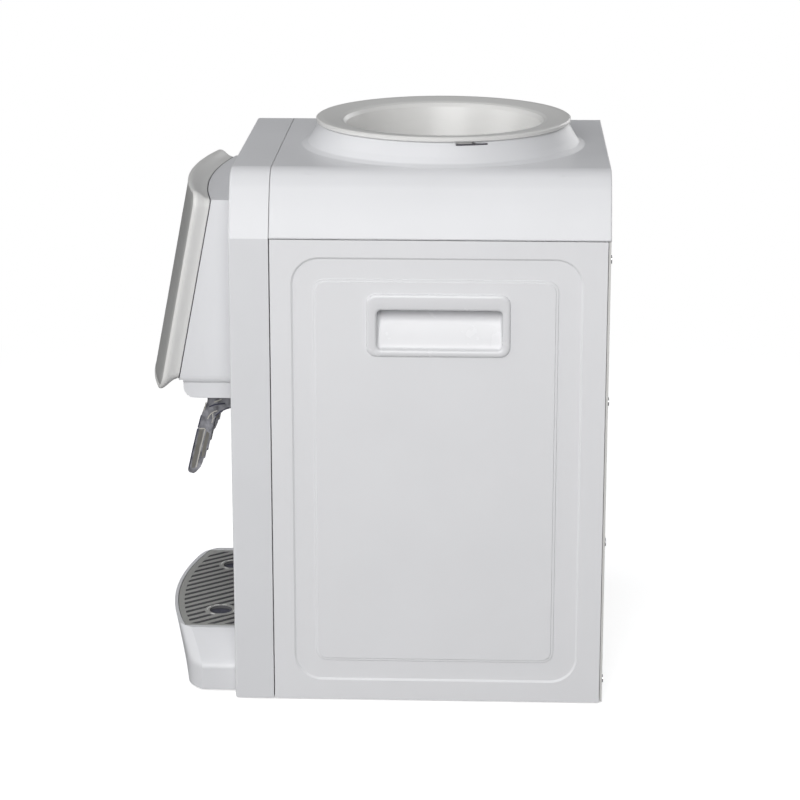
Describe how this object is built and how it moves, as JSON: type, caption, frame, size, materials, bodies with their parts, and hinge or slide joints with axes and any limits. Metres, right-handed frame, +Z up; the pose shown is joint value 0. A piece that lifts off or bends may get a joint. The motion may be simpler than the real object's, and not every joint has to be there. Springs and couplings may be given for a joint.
{
  "type": "countertop water dispenser",
  "caption": "Countertop hot and cold water dispenser with a bottle seat on top, push-lever taps over a drip tray, and a boxy casing with side finger grips.",
  "frame": {"origin": "middle of the bounding box at the underside of the feet", "axes": "+Z up, the taps face -Y, +X is the cold tap's side"},
  "size_m": [0.3018, 0.3782, 0.4598],
  "materials": {
    "shell_white": "satin moulded ABS, cool white",
    "panel_white": "powder-coated steel, satin white",
    "warm_white": "gloss moulded ABS, warm white",
    "grip_white": "satin moulded ABS, white",
    "face_grey": "silver-grey lacquered plate",
    "grille_grey": "fine-textured grey plastic",
    "clear_smoke": "clear smoked polycarbonate",
    "tap_white": "food-grade white plastic",
    "probe_white": "white moulded plastic",
    "seal_silicone": "translucent silicone",
    "hose_silicone": "translucent silicone hose",
    "feet_rubber": "black rubber",
    "zinc_steel": "zinc-plated sheet steel",
    "stainless": "brushed stainless steel",
    "screw_steel": "nickel-plated steel",
    "foam_white": "expanded polystyrene",
    "felt_grey": "heat-resistant felt",
    "aluminium": "mill-finish aluminium",
    "ceramic_white": "alumina ceramic",
    "fan_black": "black glass-filled plastic",
    "board_green": "solder-masked board",
    "switch_black": "black plastic",
    "rocker_red": "red plastic",
    "rocker_green": "green plastic",
    "button_red": "red plastic",
    "inlet_black": "black thermoset",
    "lens_clear": "tinted clear lenses",
    "rear_warm": "satin paint, warm grey-white"
  },
  "bodies": {
    "casing": {"front_frame": "shell_white", "side_panel_right": "panel_white", "side_panel_left": "panel_white", "side_grip_right": "grip_white", "side_grip_left": "grip_white", "top_cover": "shell_white", "rear_panel": "rear_warm", "rear_screws": "screw_steel", "base_plate": "zinc_steel", "rubber_feet": "feet_rubber", "tap_housing": "shell_white", "tap_bezel": "warm_white", "face_panel": "face_grey", "indicator_lenses": "lens_clear", "cold_tap_body": "tap_white", "cold_nozzle": "tap_white", "cold_lever_pins": "stainless", "hot_tap_body": "tap_white", "hot_nozzle": "tap_white", "hot_lever_pins": "stainless", "cold_tank": "stainless", "cold_insulation": "foam_white", "tank_baffle": "tap_white", "hot_tank": "stainless", "hot_insulation": "felt_grey", "heating_element": "stainless", "thermostats": "inlet_black", "tank_cradle": "zinc_steel", "cooling_block": "aluminium", "thermoelectric_module": "ceramic_white", "heat_sink": "aluminium", "fan_frame": "fan_black", "power_supply": "zinc_steel", "control_board": "board_green", "switch_frames": "switch_black", "power_inlet": "inlet_black", "drain_fitting": "tap_white", "cold_hose": "hose_silicone", "hot_hose": "hose_silicone", "feed_hose": "hose_silicone", "drain_hose": "hose_silicone"},
    "bottle_seat": {"bottle_ring": "warm_white", "feed_probe": "probe_white", "probe_seal": "seal_silicone"},
    "cold_lever": {"cold_lever": "clear_smoke"},
    "hot_lever": {"hot_lever": "clear_smoke"},
    "hot_lock": {"hot_lock_button": "button_red"},
    "cold_plunger": {"cold_plunger": "tap_white", "cold_valve_spring": "screw_steel"},
    "hot_plunger": {"hot_plunger": "tap_white", "hot_valve_spring": "screw_steel"},
    "drip_tray": {"drip_tray": "shell_white"},
    "drip_grille": {"drip_grille": "grille_grey"},
    "fan": {"fan_rotor": "fan_black"},
    "hot_rocker": {"hot_switch_rocker": "rocker_red"},
    "cold_rocker": {"cold_switch_rocker": "rocker_green"},
    "drain_cap": {"drain_cap": "switch_black"}
  },
  "joints": [
    {"name": "bottle_seat_lift", "type": "slide", "parent": "casing", "child": "bottle_seat", "axis": [0, 0, 1], "range_m": [0, 0.12]},
    {"name": "cold_lever_push", "type": "hinge", "parent": "casing", "child": "cold_lever", "pos_m": [0.057, -0.1304, 0.2485], "axis": [1, 0, 0], "range_deg": [0, 10], "stiffness_Nm_per_rad": 0.8, "springref_deg": -3.44},
    {"name": "cold_plunger_lift", "type": "slide", "parent": "casing", "child": "cold_plunger", "axis": [0, 0, 1], "range_m": [0, 0.0045], "deforming": ["cold_valve_spring"]},
    {"name": "hot_lever_push", "type": "hinge", "parent": "casing", "child": "hot_lever", "pos_m": [-0.057, -0.1304, 0.2485], "axis": [1, 0, 0], "range_deg": [0, 10], "stiffness_Nm_per_rad": 0.8, "springref_deg": -3.44},
    {"name": "hot_plunger_lift", "type": "slide", "parent": "casing", "child": "hot_plunger", "axis": [0, 0, 1], "range_m": [0, 0.0045], "deforming": ["hot_valve_spring"]},
    {"name": "hot_lock_press", "type": "slide", "parent": "hot_lever", "child": "hot_lock", "axis": [0, 0.969, -0.247], "range_m": [0, 0.003], "stiffness_N_per_m": 300, "springref_m": -0.002},
    {"name": "drip_tray_slide", "type": "slide", "parent": "casing", "child": "drip_tray", "axis": [0, -1, 0], "range_m": [0, 0.11]},
    {"name": "drip_grille_lift", "type": "slide", "parent": "drip_tray", "child": "drip_grille", "axis": [0, 0, 1], "range_m": [0, 0.04]},
    {"name": "fan_spin", "type": "hinge", "parent": "casing", "child": "fan", "pos_m": [0, 0.1666, 0.2865], "axis": [0, 1, 0], "continuous": true},
    {"name": "hot_rocker_tilt", "type": "hinge", "parent": "casing", "child": "hot_rocker", "pos_m": [-0.115, 0.1821, 0.2015], "axis": [1, 0, 0], "range_deg": [0, 16]},
    {"name": "cold_rocker_tilt", "type": "hinge", "parent": "casing", "child": "cold_rocker", "pos_m": [-0.095, 0.1821, 0.2015], "axis": [1, 0, 0], "range_deg": [0, 16]},
    {"name": "drain_cap_turn", "type": "hinge", "parent": "casing", "child": "drain_cap", "pos_m": [-0.096, 0.1881, 0.0395], "axis": [0, 1, 0], "range_deg": [0, 360]}
  ],
  "couplings": [
    {"joint": "cold_plunger_lift", "follows": "cold_lever_push", "m_per_rad": 0.0245},
    {"joint": "hot_plunger_lift", "follows": "hot_lever_push", "m_per_rad": 0.0245}
  ]
}
